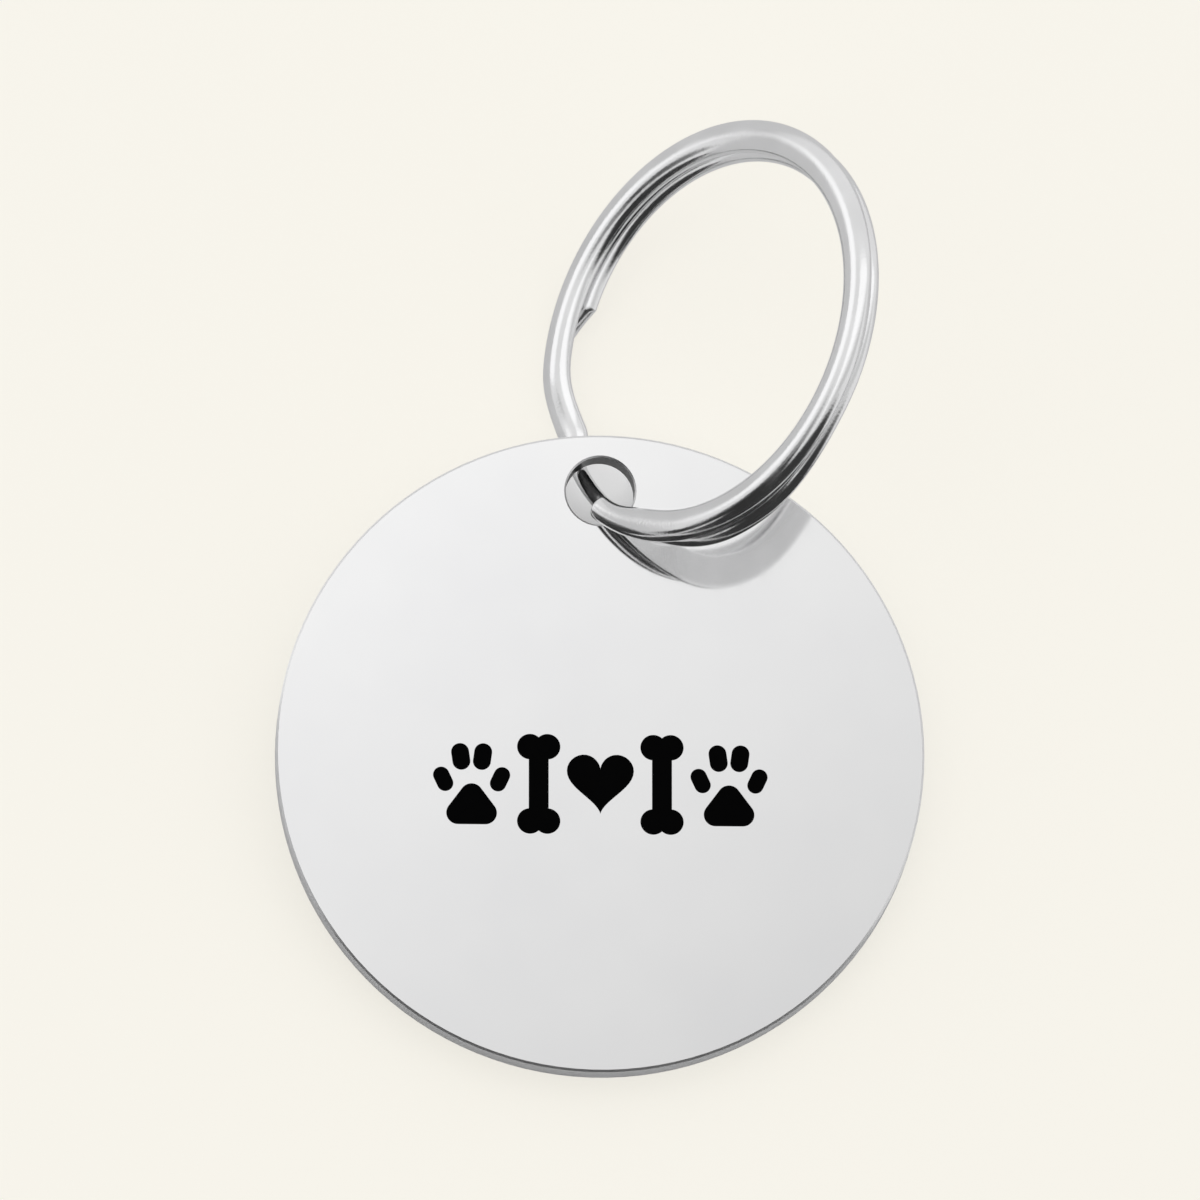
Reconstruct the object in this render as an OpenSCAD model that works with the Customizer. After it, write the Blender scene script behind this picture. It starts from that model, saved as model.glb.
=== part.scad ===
// Round pet identity tag: a bevelled metal disc with a row of black motifs set into
// its face, hung on its own split ring. It lies as it rests on a table, face up, with
// its top edge propped by the ring. X runs across the face, Y from the disc's foot to
// the ring, Z up from the table. Millimetres and degrees.

/* [Disc] */
// Diameter of the disc
disc_d = 30; // [22:0.5:45]
// Thickness of the disc
disc_t = 1.6; // [1:0.1:2]
// Width of the bevel round the rim
edge_bevel = 0.1; // [0.05:0.05:0.4]

/* [Hole] */
// Diameter of the hole that the split ring passes through
hole_d = 3.2; // [2.9:0.1:3.8]
// Metal left between the hole and the rim
hole_bridge = 1.04; // [0.8:0.02:2.4]
// Width of the bevel round the hole
hole_bevel = 0.08; // [0.04:0.02:0.3]

/* [Split ring] */
// Inside diameter of the split ring
ring_inner_d = 17.32; // [14:0.05:24]
// Width of the ring's strip, across the ring's face
strip_w = 1.56; // [1.1:0.02:1.8]
// Thickness of one turn of the strip
strip_t = 0.65; // [0.5:0.01:0.8]
// Gap between the two turns
turn_gap = 0.07; // [0.02:0.01:0.2]
// Rounding of the strip's flat back
back_round = 0.15; // [0.05:0.05:0.3]
// Width of the strip where it is drawn in to pass the hole
neck_w = 0.78; // [0.6:0.02:0.9]
// Thickness of the strip where it is drawn in
neck_t = 0.5; // [0.4:0.01:0.6]
// Width by which the back turn lies nearer the ring's centre
back_inset_w = 0.2; // [0:0.05:0.3]
// Width that the front turn loses towards its cut end
end_taper_w = 0.4; // [0:0.05:0.6]
// Width that the back turn's cut end is bevelled off by
end_cut_w = 1; // [0:0.05:1.1]
// Width by which the back turn springs outwards beyond the hole
back_bow_w = 0.5; // [0:0.05:0.6]
// Free room on each side of the strip where it leans in the hole
lean_play = 0.11; // [0.08:0.01:0.2]

/* [Motifs] */
// Width of a paw print
paw_w = 3.6; // [2.8:0.1:4.4]
// Width of a bone
bone_w = 2; // [1.4:0.1:2.6]
// Height of a bone
bone_h = 4.7; // [3:0.1:6]
// Width of the heart
heart_w = 3.1; // [2:0.1:4]
// Gap between neighbouring motifs
motif_gap = 0.3; // [0.2:0.05:0.6]
// Distance of the row's middle below the disc's centre
row_drop = 1.5; // [0:0.1:4]
// Depth of the pockets that hold the black fillings
pocket_depth = 0.3; // [0.15:0.05:0.6]
// Distance of the fillings' surface below the face
fill_drop = 0.03; // [0:0.01:0.1]

/* [Hidden] */
$fn = 96;

// Length by which a cut runs past the surface that it opens
overrun = 0.5;
face_z = disc_t / 2;
hole_y = disc_d / 2 - hole_bridge - hole_d / 2;

// The ring's path, in degrees round the ring: the front turn starts over the hole, goes
// once round, steps back beside its own start and ends as the back turn.
full_turn_angle = 360;
front_end_angle = 170;
back_end_angle = 108;
path_end_angle = back_end_angle + 2 * full_turn_angle;
path_steps = 140;
end_cut_angle = 9;
bow_angle = 225;
bow_reach_angle = 45;
step_from_angle = 115;
step_to_angle = 148;
hole_angle = 163.25;
taper_ease_angle = 24;
ring_r = (ring_inner_d + strip_w) / 2;
turn_pitch = strip_t + turn_gap;
// How far the drawn-in stretch reaches before and after the hole, and how long it takes
// to draw in and to widen, as shares of the hole's diameter
neck_lead_share = 1.284;
neck_lead_ease_share = 0.77;
neck_tail_share = 1.13;
neck_tail_ease_share = 1.03;
// Share of the narrowing that is taken from the strip's inner edge
neck_inner_share = 0.95;
section_points = 24;
round_power = 0.5;

// How the ring stands in the hole: the direction of its centre when the strip passes
// square through the disc, and the direction of the line that it then leans about.
ring_azimuth = 63.89;
lean_azimuth = 33.06;
// Places of the strip's middle in the hole, as shares of the hole's diameter
seat_shares = [-0.055, -0.0575];
seat = [seat_shares.x * hole_d, hole_y + seat_shares.y * hole_d, 0];
mouth_d = hole_d + 2 * hole_bevel;
lean = acos((neck_t + 2 * lean_play) / norm([mouth_d, disc_t])) - atan2(disc_t, mouth_d);

// Row of motifs
row_y = -row_drop;
bone_x = heart_w / 2 + motif_gap + bone_w / 2;
paw_x = bone_x + bone_w / 2 + motif_gap + paw_w / 2;
fill_t = pocket_depth - fill_drop;
// Outlines of the motifs, as shares of each motif's width
pad_r_share = 0.15;
pad_shares = [[-0.175, -0.385], [0.175, -0.385], [0, -0.15]];
toe_r_shares = [0.105, 0.115, 0.115, 0.105];
toe_reach_share = 0.06;
toe_shares = [[-0.365, 0.055], [-0.14, 0.35], [0.14, 0.35], [0.365, 0.055]];
toe_tilts = [25, 8, -8, -25];
knob_r_share = 0.3;
shank_share = 0.46;
heart_points = 60;
heart_rise_share = 0.078;

function smooth(x) =
    let (s = min(max(x, 0), 1))
    s * s * s * (s * (6 * s - 15) + 10);

function signed_power(x, e) = sign(x) * pow(abs(x), e);

// Heart-shaped curve, one unit wide, at an angle round it from the notch
function heart_curve(t) = [
    pow(sin(t), 3) / 2,
    (13 * cos(t) - 5 * cos(2 * t) - 2 * cos(3 * t) - cos(4 * t)) / 32 + heart_rise_share
];

// Level of the path: 0 on the front turn, 1 on the back turn
function level(a) =
    smooth((a - full_turn_angle - step_from_angle) / (step_to_angle - step_from_angle));

// How far the strip is drawn in: 0 at full width, 1 in the hole
function neck(a) =
    let (past = (a - full_turn_angle - hole_angle) * PI / 180 * ring_r / hole_d)
    smooth((past + neck_lead_share) / neck_lead_ease_share)
    * (1 - smooth((past - neck_tail_share) / neck_tail_ease_share));

// Width that the strip loses on its inner edge towards its two cut ends
function end_loss(a) =
    end_taper_w * (1 - smooth((a - front_end_angle) / taper_ease_angle))
    + end_cut_w * max(0, 1 - (path_end_angle - a) / end_cut_angle);

// Half of the strip's width at an angle of the path
function half_width(a) =
    (strip_w - (strip_w - neck_w) * neck(a) - end_loss(a)) / 2;

// Thickness of the strip at an angle of the path
function thickness(a) = strip_t - (strip_t - neck_t) * neck(a);

// How far the back turn stands outwards where it springs away beyond the hole
function bow(a) =
    back_bow_w * smooth(1 - abs(a - full_turn_angle - bow_angle) / bow_reach_angle);

// Distance of the strip's middle from the ring's centre
function path_r(a) =
    ring_r + bow(a)
    + (neck_inner_share * (strip_w - neck_w) * neck(a) + end_loss(a)) / 2
    - back_inset_w * level(a);

function radial(a) = [cos(a), sin(a), 0];

// Cross-section of the strip at an angle of the path, about the ring's centre: a domed
// front over a flat back with rounded corners
function section(a) = [
    for (i = [0 : section_points - 1])
        let (
            b = i * full_turn_angle / section_points,
            domed = sin(b) >= 0,
            out = half_width(a) * (domed ? cos(b) : signed_power(cos(b), round_power)),
            crown = domed ? (thickness(a) - back_round) * sin(b) : 0,
            back = domed ? 0 : back_round * signed_power(sin(b), round_power),
            up = crown + back + back_round - thickness(a) / 2
        )
        radial(a) * (path_r(a) + out) + [0, 0, up - turn_pitch * level(a)]
];

// The strip's middle where it passes the hole, about the ring's centre
pass_point = radial(hole_angle) * path_r(hole_angle + full_turn_angle) + [0, 0, -turn_pitch];

// Turn of a vector about an axis of unit length
function turned(v, axis, a) =
    v * cos(a) + cross(axis, v) * sin(a) + axis * (axis * v) * (1 - cos(a));

// The ring stood up in the hole, with its strip square through the disc
function stood(p) =
    let (
        q = p - pass_point,
        out = q * radial(hole_angle),
        along = q * radial(hole_angle + 90)
    )
    -out * radial(ring_azimuth) + [0, 0, along] + q.z * radial(ring_azimuth + 90);

// From the ring's own place to the disc's, leaned against the edges of the hole
function hung(p) = seat + turned(stood(p), radial(lean_azimuth), lean);

path_angles = [
    for (i = [0 : path_steps])
        front_end_angle + (path_end_angle - front_end_angle) * i / path_steps
];
ring_sections = [for (a = path_angles) [for (p = section(a)) hung(p)]];
ring_points = [for (s = ring_sections) for (p = s) p];

// The tag rests on the lower edge of the disc's back and on the ring's lowest point.
rest_y = edge_bevel - disc_d / 2;
rest_z = -disc_t / 2;
prop = max([for (p = ring_points) atan2(rest_z - p.z, p.y - rest_y)]);

function propped(p) = turned(p, [1, 0, 0], prop);

foot_y = propped([0, -disc_d / 2, disc_t / 2 - edge_bevel]).y;
head_y = max([for (p = ring_points) propped(p).y]);
table_place = [0, -(foot_y + head_y) / 2, -propped([0, rest_y, rest_z]).z];

module on_table() {
    translate(table_place)
        rotate([prop, 0, 0])
            children();
}

// Outline round a row or a triangle of points, given anticlockwise
module rounded(points, r) {
    count = len(points);
    for (p = points)
        translate(p)
            circle(r = r);
    polygon([
        for (i = [0 : count - 1])
            let (
                from = points[i],
                to = points[(i + 1) % count],
                side = (to - from) / norm(to - from),
                out = [side.y, -side.x] * r
            )
            each [from + out, to + out]
    ]);
}

module pad_outline() {
    rounded(pad_shares * paw_w, pad_r_share * paw_w);
}

module toe_outline(i) {
    reach = [0, toe_reach_share * paw_w];
    translate(toe_shares[i] * paw_w)
        rotate(toe_tilts[i])
            rounded([-reach, reach], toe_r_shares[i] * paw_w);
}

module bone_outline() {
    knob_r = knob_r_share * bone_w;
    knob_x = bone_w / 2 - knob_r;
    knob_y = bone_h / 2 - knob_r;
    for (sx = [-1, 1], sy = [-1, 1])
        translate([sx * knob_x, sy * knob_y])
            circle(r = knob_r);
    square([shank_share * bone_w, 2 * knob_y], center = true);
}

module heart_outline() {
    polygon([
        for (i = [0 : heart_points - 1])
            heart_curve(full_turn_angle * i / heart_points) * heart_w
    ]);
}

module in_row(x) {
    translate([x, row_y])
        children();
}

module all_outlines() {
    for (x = [-paw_x, paw_x])
        in_row(x) {
            pad_outline();
            for (i = [0 : len(toe_shares) - 1])
                toe_outline(i);
        }
    for (x = [-bone_x, bone_x])
        in_row(x)
            bone_outline();
    in_row(0)
        heart_outline();
}

// Black filling in the pocket of one outline
module filling(x) {
    color([0.05, 0.05, 0.06])
        on_table()
            translate([0, 0, face_z - pocket_depth])
                linear_extrude(fill_t)
                    in_row(x)
                        children();
}

module tag_disc() {
    rim_r = disc_d / 2;
    mouth_r = mouth_d / 2;
    color([0.83, 0.83, 0.84])
        on_table()
            difference() {
                rotate_extrude()
                    polygon([
                        [0, -face_z],
                        [rim_r - edge_bevel, -face_z],
                        [rim_r, edge_bevel - face_z],
                        [rim_r, face_z - edge_bevel],
                        [rim_r - edge_bevel, face_z],
                        [0, face_z]
                    ]);
                translate([0, hole_y, 0]) {
                    cylinder(d = hole_d, h = disc_t + 2 * overrun, center = true);
                    translate([0, 0, face_z - hole_bevel])
                        cylinder(r1 = hole_d / 2, r2 = mouth_r + overrun, h = hole_bevel + overrun);
                    translate([0, 0, -face_z - overrun])
                        cylinder(r1 = mouth_r + overrun, r2 = hole_d / 2, h = hole_bevel + overrun);
                }
                translate([0, 0, face_z - pocket_depth])
                    linear_extrude(pocket_depth + overrun)
                        all_outlines();
            }
}

// Two turns of domed strip in one piece
module split_ring() {
    n = section_points;
    last = len(path_angles) - 1;
    color([0.62, 0.63, 0.65])
        on_table()
            polyhedron(
                points = ring_points,
                faces = [
                    [for (i = [n - 1 : -1 : 0]) i],
                    [for (i = [0 : n - 1]) last * n + i],
                    for (k = [0 : last - 1], i = [0 : n - 1])
                        let (j = (i + 1) % n)
                        each [
                            [k * n + i, k * n + j, (k + 1) * n + j],
                            [k * n + i, (k + 1) * n + j, (k + 1) * n + i]
                        ]
                ]
            );
}

module paw_left_pad() filling(-paw_x) pad_outline();
module paw_left_toe_1() filling(-paw_x) toe_outline(0);
module paw_left_toe_2() filling(-paw_x) toe_outline(1);
module paw_left_toe_3() filling(-paw_x) toe_outline(2);
module paw_left_toe_4() filling(-paw_x) toe_outline(3);
module bone_left() filling(-bone_x) bone_outline();
module heart() filling(0) heart_outline();
module bone_right() filling(bone_x) bone_outline();
module paw_right_pad() filling(paw_x) pad_outline();
module paw_right_toe_1() filling(paw_x) toe_outline(0);
module paw_right_toe_2() filling(paw_x) toe_outline(1);
module paw_right_toe_3() filling(paw_x) toe_outline(2);
module paw_right_toe_4() filling(paw_x) toe_outline(3);

tag_disc();
split_ring();
paw_left_pad();
paw_left_toe_1();
paw_left_toe_2();
paw_left_toe_3();
paw_left_toe_4();
bone_left();
heart();
bone_right();
paw_right_pad();
paw_right_toe_1();
paw_right_toe_2();
paw_right_toe_3();
paw_right_toe_4();
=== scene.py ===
import math

import bpy
from mathutils import Matrix, Vector

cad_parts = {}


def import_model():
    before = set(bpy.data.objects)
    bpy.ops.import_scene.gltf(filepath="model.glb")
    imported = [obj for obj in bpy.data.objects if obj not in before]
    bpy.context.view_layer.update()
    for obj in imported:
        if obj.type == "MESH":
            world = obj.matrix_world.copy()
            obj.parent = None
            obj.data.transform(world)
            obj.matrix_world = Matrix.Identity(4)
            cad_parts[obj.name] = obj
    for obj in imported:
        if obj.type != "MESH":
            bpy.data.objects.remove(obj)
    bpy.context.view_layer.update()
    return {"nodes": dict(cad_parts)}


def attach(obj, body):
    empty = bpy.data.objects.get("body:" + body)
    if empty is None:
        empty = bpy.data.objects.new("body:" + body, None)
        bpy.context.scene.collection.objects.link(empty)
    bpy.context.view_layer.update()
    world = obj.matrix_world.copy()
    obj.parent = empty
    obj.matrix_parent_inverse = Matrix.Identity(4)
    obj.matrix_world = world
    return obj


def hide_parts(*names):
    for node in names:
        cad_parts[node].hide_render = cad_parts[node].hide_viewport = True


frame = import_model()

MM = 0.001
FULL_TURN = 360.0

# The disc's hole and how the disc lies on the table, in millimetres and degrees
HOLE_D = 3.2
HOLE_Y = 12.36
PROP = 4.34064
PLACE = Vector((0.0, -6.99821, 1.92543))
TILT = Matrix.Rotation(math.radians(PROP), 3, "X")

# The split ring's strip
RING_ID = 17.32
STRIP_W = 1.56
STRIP_T = 0.65
TURN_GAP = 0.07
BACK_ROUND = 0.15
ROUND_POWER = 0.5
RING_R = (RING_ID + STRIP_W) / 2
PITCH = STRIP_T + TURN_GAP

# The narrow stretch of the strip at the hole; its lead and tail are in diameters of the hole
NECK_W = 0.78
NECK_T = 0.5
NECK_LEAD, NECK_LEAD_EASE = 1.284, 0.77
NECK_TAIL, NECK_TAIL_EASE = 1.13, 1.03
NECK_DRAWN_IN = 0.95

# The strip's path, by angle: its ends, the step between the turns, and the back turn's bow
FRONT_END, BACK_END = 170.0, 828.0
END_TAPER, END_TAPER_ANGLE = 0.4, 24.0
END_CUT, END_CUT_ANGLE = 1.0, 9.0
STEP_FROM, STEP_TO = 115.0, 148.0
BACK_INSET = 0.2
BACK_BOW = 0.5
BOW_AT, BOW_REACH = 585.0, 45.0

# How the ring passes through the hole
HOLE_AT = 163.25
LEAN = 53.3813
LEAN_AZIMUTH = 33.06
RING_AZIMUTH = 63.89
SEAT = Vector((-0.055 * HOLE_D, HOLE_Y - 0.0575 * HOLE_D, 0.0))

# The ring's mesh: points round its section, and the rounding of its two cut ends
SIDES = 64
END_ROUND = 0.09
END_STEPS = 5
CORNER_INSET_MOST = 0.1

# The camera, measured on the photograph
VIEW_TILT = 12.0
VIEW_SIDE = 12.0
PHOTO_PX = 1200
PX_PER_MM = 21.63
DISC_PX = (599.6, 755.9)
CAMERA_AWAY = 1000.0
SENSOR = 36.0
CLIP_START, CLIP_END = 0.01, 20.0


def world(p):
    """From the disc's own frame, in millimetres, to the table's, in metres."""
    return (TILT @ Vector(p) + PLACE) * MM


def smooth(x):
    x = min(max(x, 0.0), 1.0)
    return x * x * x * (x * (6 * x - 15) + 10)


def radial(a):
    return Vector((math.cos(math.radians(a)), math.sin(math.radians(a)), 0.0))


def add_mesh(name, verts, faces):
    mesh = bpy.data.meshes.new(name)
    mesh.from_pydata(verts, [], faces)
    obj = bpy.data.objects.new(name, mesh)
    bpy.context.collection.objects.link(obj)
    return obj


# ---- camera ----
def add_camera():
    t, s = math.radians(VIEW_TILT), math.radians(VIEW_SIDE)
    back = TILT @ Vector((-math.sin(t) * math.sin(s), -math.sin(t) * math.cos(s), math.cos(t)))
    top = TILT @ Vector((0, 1, 0))
    up = (top - back * top.dot(back)).normalized()
    right = up.cross(back)
    off_x, off_y = [(PHOTO_PX / 2 - px) / PX_PER_MM for px in DISC_PX]
    aim = PLACE + right * off_x - up * off_y
    cam = bpy.data.objects.new("camera", bpy.data.cameras.new("camera"))
    bpy.context.collection.objects.link(cam)
    turn = Matrix((right, up, back)).transposed().to_4x4()
    cam.matrix_world = Matrix.Translation((aim + back * CAMERA_AWAY) * MM) @ turn
    cam.data.sensor_width = SENSOR
    cam.data.lens = SENSOR * CAMERA_AWAY / (PHOTO_PX / PX_PER_MM)
    cam.data.clip_start = CLIP_START
    cam.data.clip_end = CLIP_END
    bpy.context.scene.camera = cam


# ---- nodes of the materials ----
def new_material(name):
    mat = bpy.data.materials.new(name)
    mat.use_nodes = True
    return mat, mat.node_tree, mat.node_tree.nodes["Principled BSDF"]


def put(tree, socket, value):
    """Link an output to a socket, or set the socket to a constant."""
    if isinstance(value, bpy.types.NodeSocket):
        tree.links.new(value, socket)
    else:
        socket.default_value = value


def noise(tree, scale, detail=3.0, stretch=(1, 1, 1)):
    coord = tree.nodes.new("ShaderNodeTexCoord")
    mapping = tree.nodes.new("ShaderNodeMapping")
    mapping.inputs["Scale"].default_value = stretch
    tex = tree.nodes.new("ShaderNodeTexNoise")
    tex.inputs["Scale"].default_value = scale
    tex.inputs["Detail"].default_value = detail
    tree.links.new(coord.outputs["Object"], mapping.inputs["Vector"])
    tree.links.new(mapping.outputs["Vector"], tex.inputs["Vector"])
    return tex.outputs["Fac"]


def ranged(tree, source, to, span=(0.3, 0.7), eased=False):
    """The source, mapped from a span of its own to another range, and held at the range's ends."""
    node = tree.nodes.new("ShaderNodeMapRange")
    if eased:
        node.interpolation_type = "SMOOTHSTEP"
    names = ("From Min", "From Max", "To Min", "To Max")
    for name, value in zip(names, (*span, *to)):
        node.inputs[name].default_value = value
    tree.links.new(source, node.inputs["Value"])
    return node.outputs["Result"]


def maths(tree, operation, *values):
    node = tree.nodes.new("ShaderNodeMath")
    node.operation = operation
    for socket, value in zip(node.inputs, values):
        put(tree, socket, value)
    return node.outputs["Value"]


def vector_math(tree, operation, *values):
    node = tree.nodes.new("ShaderNodeVectorMath")
    node.operation = operation
    for socket, value in zip(node.inputs, values):
        put(tree, socket, value)
    return node.outputs["Value" if operation in ("DOT_PRODUCT", "LENGTH") else "Vector"]


def blended(tree, factor, a, b):
    """Mix of two colours, each of them linked or constant."""
    node = tree.nodes.new("ShaderNodeMix")
    node.data_type = "RGBA"
    for name, value in (("A", a), ("B", b)):
        put(tree, node.inputs[name], (*value, 1) if isinstance(value, tuple) else value)
    tree.links.new(factor, node.inputs["Factor"])
    return node.outputs["Result"]


def mottled(tree, pattern, tones):
    return blended(tree, ranged(tree, pattern, (0, 1)), *tones)


def bump(tree, height, distance, strength):
    node = tree.nodes.new("ShaderNodeBump")
    node.inputs["Distance"].default_value = distance
    node.inputs["Strength"].default_value = strength
    tree.links.new(height, node.inputs["Height"])
    return node.outputs["Normal"]


def distance_from(tree, point):
    coord = tree.nodes.new("ShaderNodeTexCoord")
    away = vector_math(tree, "SUBTRACT", coord.outputs["Object"], Vector(point) * MM)
    return vector_math(tree, "LENGTH", away)


# ---- the object's materials ----
# Tones, each a pair that a noise mixes, or one
DISC_FACE = ((0.90, 0.90, 0.905), (0.93, 0.93, 0.93))
RIM_WALL = ((0.84, 0.84, 0.842), (0.96, 0.96, 0.962))
RIM_BEVEL = (0.95, 0.95, 0.95)
# The hole's wall tones are painted shade: near-black, standing in for the shadowed floor that the wall
# mirrors.
HOLE_WALL_PAINTED_SHADE = ((0.07, 0.07, 0.071), (0.17, 0.17, 0.172))
HOLE_BEVEL = (0.9, 0.9, 0.9)
RING_TONES = ((0.84, 0.84, 0.845), (0.90, 0.90, 0.905))
ENAMEL_TONES = ((0.0006, 0.0006, 0.0007), (0.0012, 0.0012, 0.0013))

# How much of a normal runs along the disc's axis, over the change from bevel to face and from
# wall to bevel
FACE_SPAN = (0.9, 0.97)
WALL_SPAN = (0.2, 0.5)
# Distances from the hole's axis over which the hole's painted-shade tones give way to the rim's
NEAR_HOLE = (2.0 * MM, 2.1 * MM)

FACE_ROUGHNESS = (0.05, 0.085)
BEVEL_ROUGHNESS_MORE = 0.25
RING_ROUGHNESS = (0.09, 0.22)
ENAMEL_ROUGHNESS = (0.42, 0.55)
ENAMEL_SPECULAR = 0.02

# Scales of the noises, and the depth and strength of the bumps
CLOUD_SCALE, CLOUD_DETAIL = 180.0, 2.0
CUT_SCALE, CUT_DETAIL = 9000.0, 4.0
BRUSH_SCALE, BRUSH_DETAIL, BRUSH_STRETCH = 2600.0, 4.0, (1.0, 0.25, 1.0)
BRUSH_BUMP = (0.000002, 0.15)
RING_CLOUD_SCALE = 420.0
RING_GRAIN_SCALE = 9000.0
RING_BUMP = (0.000008, 0.5)
ENAMEL_SCALE = 1500.0
ENAMEL_BUMP = (0.00001, 0.2)


def disc_steel():
    """Mirror faces, satin bevels and cut walls, light round the rim; the hole's wall is painted dark,
    a painted shade.
    """
    mat, tree, shader = new_material("polished_disc_steel")
    shader.inputs["Metallic"].default_value = 1.0
    coord = tree.nodes.new("ShaderNodeTexCoord")
    axis = TILT @ Vector((0, 0, 1))
    along_axis = vector_math(tree, "DOT_PRODUCT", coord.outputs["Normal"], axis)
    upright = maths(tree, "ABSOLUTE", along_axis)
    off_face = ranged(tree, upright, (1, 0), FACE_SPAN)
    wall = ranged(tree, upright, (1, 0), WALL_SPAN)
    from_hole = vector_math(tree, "SUBTRACT", coord.outputs["Object"], world((0, HOLE_Y, 0)))
    reach = vector_math(tree, "LENGTH", vector_math(tree, "CROSS_PRODUCT", from_hole, axis))
    near_hole = ranged(tree, reach, (1, 0), NEAR_HOLE)

    face = mottled(tree, noise(tree, CLOUD_SCALE, CLOUD_DETAIL), DISC_FACE)
    cut = noise(tree, CUT_SCALE, CUT_DETAIL)
    rim_edge = blended(tree, wall, RIM_BEVEL, mottled(tree, cut, RIM_WALL))
    # Painted shade on the hole's wall, blended with its bevel's own tone.
    hole_edge_painted_shade = blended(tree, wall, HOLE_BEVEL, mottled(tree, cut, HOLE_WALL_PAINTED_SHADE))
    edge = blended(tree, near_hole, rim_edge, hole_edge_painted_shade)
    put(tree, shader.inputs["Base Color"], blended(tree, off_face, face, edge))

    brush = noise(tree, BRUSH_SCALE, BRUSH_DETAIL, BRUSH_STRETCH)
    more = ranged(tree, off_face, (0, BEVEL_ROUGHNESS_MORE), (0, 1))
    rough = maths(tree, "ADD", ranged(tree, brush, FACE_ROUGHNESS), more)
    put(tree, shader.inputs["Roughness"], rough)
    put(tree, shader.inputs["Normal"], bump(tree, brush, *BRUSH_BUMP))
    return mat


def ring_steel():
    mat, tree, shader = new_material("polished_ring_steel")
    shader.inputs["Metallic"].default_value = 1.0
    cloud = noise(tree, RING_CLOUD_SCALE)
    put(tree, shader.inputs["Base Color"], mottled(tree, cloud, RING_TONES))
    put(tree, shader.inputs["Roughness"], ranged(tree, cloud, RING_ROUGHNESS))
    put(tree, shader.inputs["Normal"], bump(tree, noise(tree, RING_GRAIN_SCALE), *RING_BUMP))
    return mat


def black_enamel():
    mat, tree, shader = new_material("black_enamel")
    cloud = noise(tree, ENAMEL_SCALE)
    put(tree, shader.inputs["Base Color"], mottled(tree, cloud, ENAMEL_TONES))
    put(tree, shader.inputs["Roughness"], ranged(tree, cloud, ENAMEL_ROUGHNESS))
    shader.inputs["Specular IOR Level"].default_value = ENAMEL_SPECULAR
    put(tree, shader.inputs["Normal"], bump(tree, cloud, *ENAMEL_BUMP))
    return mat


# ---- split ring ----
def neck(a):
    """How far the strip is drawn in, from 0 to 1."""
    past = math.radians(a - FULL_TURN - HOLE_AT) * RING_R / HOLE_D
    lead = smooth((past + NECK_LEAD) / NECK_LEAD_EASE)
    return lead * (1 - smooth((past - NECK_TAIL) / NECK_TAIL_EASE))


def level(a):
    """The turn that the strip is in: 0 for the front one, 1 for the back one."""
    return smooth((a - FULL_TURN - STEP_FROM) / (STEP_TO - STEP_FROM))


def end_loss(a):
    taper = END_TAPER * (1 - smooth((a - FRONT_END) / END_TAPER_ANGLE))
    return taper + END_CUT * max(0.0, 1 - (BACK_END - a) / END_CUT_ANGLE)


def half_width(a):
    return (STRIP_W - (STRIP_W - NECK_W) * neck(a) - end_loss(a)) / 2


def path_r(a):
    drawn_in = (NECK_DRAWN_IN * (STRIP_W - NECK_W) * neck(a) + end_loss(a)) / 2
    bow = BACK_BOW * smooth(1 - abs(a - BOW_AT) / BOW_REACH)
    return RING_R + drawn_in - BACK_INSET * level(a) + bow


def thickness(a):
    return STRIP_T - (STRIP_T - NECK_T) * neck(a)


PASS = radial(HOLE_AT) * path_r(HOLE_AT + FULL_TURN) - Vector((0, 0, PITCH))


def hung(p):
    """From the ring's own frame to the disc's, with the strip leaning in the hole."""
    q = p - PASS
    out, along = q.dot(radial(HOLE_AT)), q.dot(radial(HOLE_AT + 90))
    stood = radial(RING_AZIMUTH + 90) * q.z - radial(RING_AZIMUTH) * out + Vector((0, 0, along))
    return SEAT + Matrix.Rotation(math.radians(LEAN), 3, radial(LEAN_AZIMUTH)) @ stood


def ring_section(a, inset):
    """A domed front over a flat back with rounded corners."""
    points = []
    half = half_width(a) - inset
    for i in range(SIDES):
        turn = 2 * math.pi * i / SIDES
        across, rise = math.cos(turn), math.sin(turn)
        if i <= SIDES // 2:
            out, up = half * across, (thickness(a) - BACK_ROUND - inset) * rise
        else:
            out = half * math.copysign(abs(across) ** ROUND_POWER, across)
            up = -(BACK_ROUND - min(inset, CORNER_INSET_MOST)) * abs(rise) ** ROUND_POWER
        up += BACK_ROUND - thickness(a) / 2 - PITCH * level(a)
        points.append(world(hung(radial(a) * (path_r(a) + out) + Vector((0, 0, up)))))
    return points


def ring_stations():
    """Angles along the path, one degree apart between the rounded ends, and the section's inset."""
    turns = [k / END_STEPS * math.pi / 2 for k in range(END_STEPS + 1)]
    rounded = [(math.degrees(END_ROUND * (1 - math.cos(t)) / RING_R), END_ROUND * (1 - math.sin(t)))
               for t in turns]
    front = [(FRONT_END + along, inset) for along, inset in rounded]
    middle = [(FRONT_END + k, 0.0) for k in range(1, int(BACK_END - FRONT_END))]
    back = [(BACK_END - along, inset) for along, inset in reversed(rounded)]
    return front + middle + back


def ring_piece():
    stations = ring_stations()
    verts, faces = [], []
    for a, inset in stations:
        verts += ring_section(a, inset)
    last = (len(stations) - 1) * SIDES
    for low in range(0, last, SIDES):
        for i in range(SIDES):
            j = (i + 1) % SIDES
            faces.append((low + j, low + i, low + SIDES + i, low + SIDES + j))
    faces.append(tuple(range(SIDES)))
    faces.append(tuple(last + i for i in range(SIDES - 1, -1, -1)))
    obj = add_mesh("split_ring_strip", verts, faces)
    obj.data.polygons.foreach_set("use_smooth", [len(f) == 4 for f in faces])
    obj.data.update()
    return obj


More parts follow.
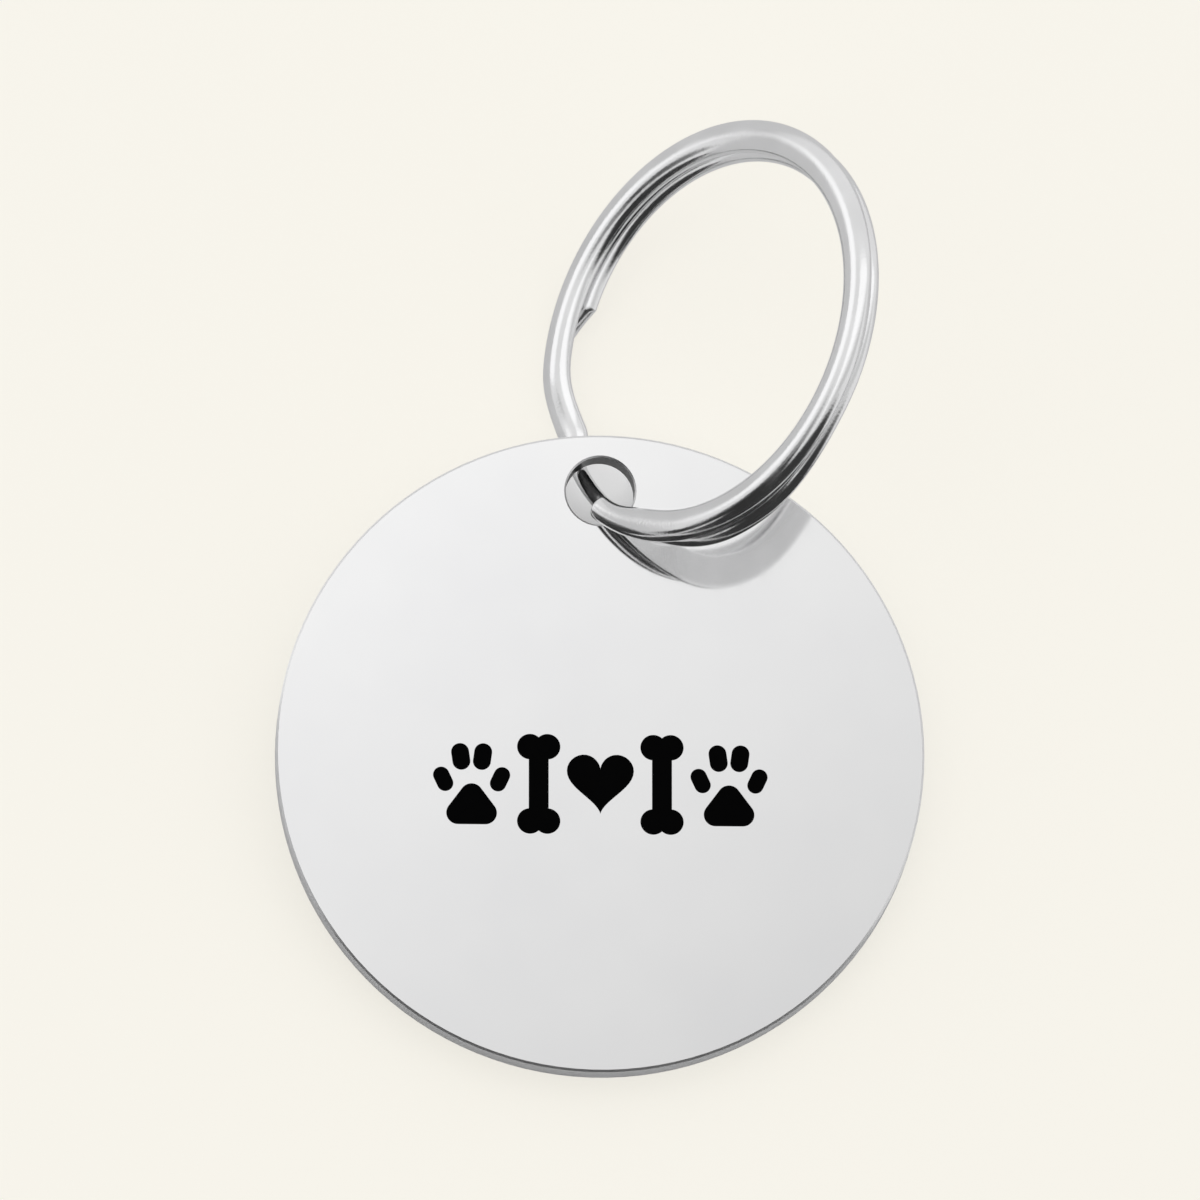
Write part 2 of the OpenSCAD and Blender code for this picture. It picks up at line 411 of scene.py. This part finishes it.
# ---- stage ----
FLOOR_HALF = 6.0
FLOOR_NOISE = (60.0, 2.0)
FLOOR_CREAM = ((0.930, 0.905, 0.831), (0.932, 0.907, 0.833))
FLOOR_NEUTRAL = (0.88, 0.88, 0.88)
GLOW_CREAM = ((1.078, 1.050, 0.966), (1.08, 1.052, 0.968))
WHITE = (1.0, 1.0, 1.0)
GLOW_SHARE = 0.68
# Middles on the floor, in millimetres, and distances in metres over which the glow sets in or out
DISC_MIDDLE, OPEN_SPAN = (0.1, -6.2, 0), (14.2 * MM, 15.0 * MM)
# Under the hole the glow is painted light, lifting the disc's shadow on the floor seen through the
# hole.
HOLE_MIDDLE, HOLE_SPAN, HOLE_PAINTED_LIGHT_SHARE = (0.1, 7.2, 0), (1.2 * MM, 4.4 * MM), 0.8


def add_floor():
    """Cream paper round the tag, neutral under the disc and in what the metal mirrors of it, with
    painted light on the floor seen through the hole.
    """
    size = FLOOR_HALF
    corners = [(-size, -size, 0), (size, -size, 0), (size, size, 0), (-size, size, 0)]
    obj = add_mesh("floor", corners, [(0, 1, 2, 3)])
    mat, tree, shader = new_material("floor_paper")
    fine = noise(tree, *FLOOR_NOISE)
    in_open = ranged(tree, distance_from(tree, DISC_MIDDLE), (0, 1), OPEN_SPAN)
    # Painted light: a glow for camera rays on the floor under the hole, where the disc's shadow falls.
    hole_painted_light = ranged(tree, distance_from(tree, HOLE_MIDDLE), (HOLE_PAINTED_LIGHT_SHARE, 0), HOLE_SPAN)
    seen = tree.nodes.new("ShaderNodeLightPath").outputs["Is Camera Ray"]
    cream = mottled(tree, fine, FLOOR_CREAM)
    base = blended(tree, maths(tree, "MULTIPLY", seen, in_open), FLOOR_NEUTRAL, cream)
    put(tree, shader.inputs["Base Color"], base)
    shader.inputs["Roughness"].default_value = 1.0
    shader.inputs["Specular IOR Level"].default_value = 0.0
    glow = tree.nodes.new("ShaderNodeEmission")
    put(tree, glow.inputs["Color"], blended(tree, in_open, WHITE, mottled(tree, fine, GLOW_CREAM)))
    lit = maths(tree, "MULTIPLY", seen, maths(tree, "MAXIMUM", in_open, hole_painted_light))
    mix = tree.nodes.new("ShaderNodeMixShader")
    put(tree, mix.inputs["Fac"], maths(tree, "MULTIPLY", lit, GLOW_SHARE))
    tree.links.new(shader.outputs["BSDF"], mix.inputs[1])
    tree.links.new(glow.outputs["Emission"], mix.inputs[2])
    tree.links.new(mix.outputs["Shader"], tree.nodes["Material Output"].inputs["Surface"])
    obj.data.materials.append(mat)


CARD_HALF, CARD_NEAR, CARD_HIGH = 0.13, -0.085, 0.2
# Where the card's middle is, as shares of its height from a point over the disc
CARD_SHARES, CARD_BASE_Y = (0.0436, 0.1329), -0.007
CARD_SLOPE = -0.67
CARD_SPAN, CARD_LEVELS = (-0.045, 0.045), (0.6145, 1.1095)


def add_card():
    """A soft light card over the tag, brighter at its far left, which the polished face mirrors."""
    half, near = CARD_HALF, CARD_NEAR
    corners = [(-half, near, 0), (half, near, 0), (half, half, 0), (-half, half, 0)]
    obj = add_mesh("light_card", corners, [(0, 3, 2, 1)])
    share_x, share_y = CARD_SHARES
    obj.location = (share_x * CARD_HIGH, CARD_BASE_Y + share_y * CARD_HIGH, CARD_HIGH)
    mat = bpy.data.materials.new("light_card")
    mat.use_nodes = True
    tree = mat.node_tree
    tree.nodes.clear()
    coord = tree.nodes.new("ShaderNodeTexCoord")
    split = tree.nodes.new("ShaderNodeSeparateXYZ")
    tree.links.new(coord.outputs["Object"], split.inputs["Vector"])
    slope = maths(tree, "MULTIPLY_ADD", split.outputs["X"], CARD_SLOPE, split.outputs["Y"])
    glow = tree.nodes.new("ShaderNodeEmission")
    put(tree, glow.inputs["Strength"], ranged(tree, slope, CARD_LEVELS, CARD_SPAN))
    out = tree.nodes.new("ShaderNodeOutputMaterial")
    tree.links.new(glow.outputs["Emission"], out.inputs["Surface"])
    obj.data.materials.append(mat)
    obj.visible_camera = False


SIDE_MIDDLE = (0, -7)
SIDE_RADIUS = 26
ARC_STEPS = 24
CLOTH_NOISE = (900.0, 2.0)
CLOTH_TONES = ((0.04, 0.04, 0.04), (0.065, 0.065, 0.065))


def arc(first, last):
    """Points on the circle that the side flag stands over."""
    x, y = SIDE_MIDDLE
    turns = [math.radians(first + (last - first) * k / ARC_STEPS) for k in range(ARC_STEPS + 1)]
    return [(x + SIDE_RADIUS * math.cos(t), y + SIDE_RADIUS * math.sin(t)) for t in turns]


# Dark flags, in millimetres: name, points that it stands over, bottom, top
FLAGS = [
    ("front_flag", [(-60, -36), (60, -36)], 0, 12),
    ("side_flag_left", arc(168, 187), 4, 45),
    ("side_flag_window", arc(187, 195), 17, 45),
    ("side_flag_right", arc(195, 240), 4, 45),
]


def add_flag(name, foot, low, high):
    """A dark flag upright over a line of points, which only the metal mirrors."""
    verts = [(x * MM, y * MM, z * MM) for x, y in foot for z in (low, high)]
    faces = [(2 * k, 2 * k + 2, 2 * k + 3, 2 * k + 1) for k in range(len(foot) - 1)]
    obj = add_mesh(name, verts, faces)
    mat, tree, shader = new_material(name + "_cloth")
    put(tree, shader.inputs["Base Color"], mottled(tree, noise(tree, *CLOTH_NOISE), CLOTH_TONES))
    shader.inputs["Roughness"].default_value = 1.0
    shader.inputs["Specular IOR Level"].default_value = 0.0
    obj.data.materials.append(mat)
    obj.visible_camera = False
    obj.visible_diffuse = False
    obj.visible_shadow = False


# Parts of the room that the metal mirrors: direction, angles at which each is full and gone,
# and how much lighter or darker it is than the rest
ROOM_LEVEL = 0.8
ROOM_LEAST = 0.04
ROOM_PATCHES = [
    ((-0.116, -0.944, 0.309), 38, 52, -0.77),
    ((-0.939, -0.183, 0.292), 8, 15, -0.68),
    ((-0.837, -0.059, 0.545), 6, 14, -0.5),
    ((-0.78, -0.30, 0.55), 4, 12, -0.2),
    ((0.98, 0.17, 0.08), 14, 28, -0.18),
    ((-0.879, 0.429, 0.208), 9, 17, 0.3),
]
BACKDROP = (*FLOOR_CREAM[0], 1)


def add_world():
    scene = bpy.context.scene
    scene.world = bpy.data.worlds.new("studio")
    scene.world.use_nodes = True
    tree = scene.world.node_tree
    tree.nodes.clear()
    coord = tree.nodes.new("ShaderNodeTexCoord")
    total = ROOM_LEVEL
    for towards, full, gone, change in ROOM_PATCHES:
        middle = Vector(towards).normalized()
        near = vector_math(tree, "DOT_PRODUCT", coord.outputs["Generated"], middle)
        span = [math.cos(math.radians(angle)) for angle in (gone, full)]
        total = maths(tree, "ADD", total, ranged(tree, near, (0.0, change), span, eased=True))
    room = tree.nodes.new("ShaderNodeBackground")
    room.inputs["Color"].default_value = (*WHITE, 1)
    put(tree, room.inputs["Strength"], maths(tree, "MAXIMUM", total, ROOM_LEAST))
    back = tree.nodes.new("ShaderNodeBackground")
    back.inputs["Color"].default_value = BACKDROP
    back.inputs["Strength"].default_value = 1.0
    path = tree.nodes.new("ShaderNodeLightPath")
    mix = tree.nodes.new("ShaderNodeMixShader")
    tree.links.new(path.outputs["Is Camera Ray"], mix.inputs["Fac"])
    tree.links.new(room.outputs["Background"], mix.inputs[1])
    tree.links.new(back.outputs["Background"], mix.inputs[2])
    out = tree.nodes.new("ShaderNodeOutputWorld")
    tree.links.new(mix.outputs["Shader"], out.inputs["Surface"])


def dress(node, mat):
    obj = frame["nodes"][node]
    obj.data.materials.clear()
    obj.data.materials.append(mat)


add_camera()
bpy.context.scene.view_settings.view_transform = "Standard"

steel, strip_steel, enamel = disc_steel(), ring_steel(), black_enamel()
ring = ring_piece()
ring.data.materials.append(strip_steel)
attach(ring, "ring")
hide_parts("split_ring")

for name in frame["nodes"]:
    if name == "tag_disc":
        dress(name, steel)
    elif name != "split_ring":
        dress(name, enamel)

add_floor()
add_card()
for flag in FLAGS:
    add_flag(*flag)
add_world()
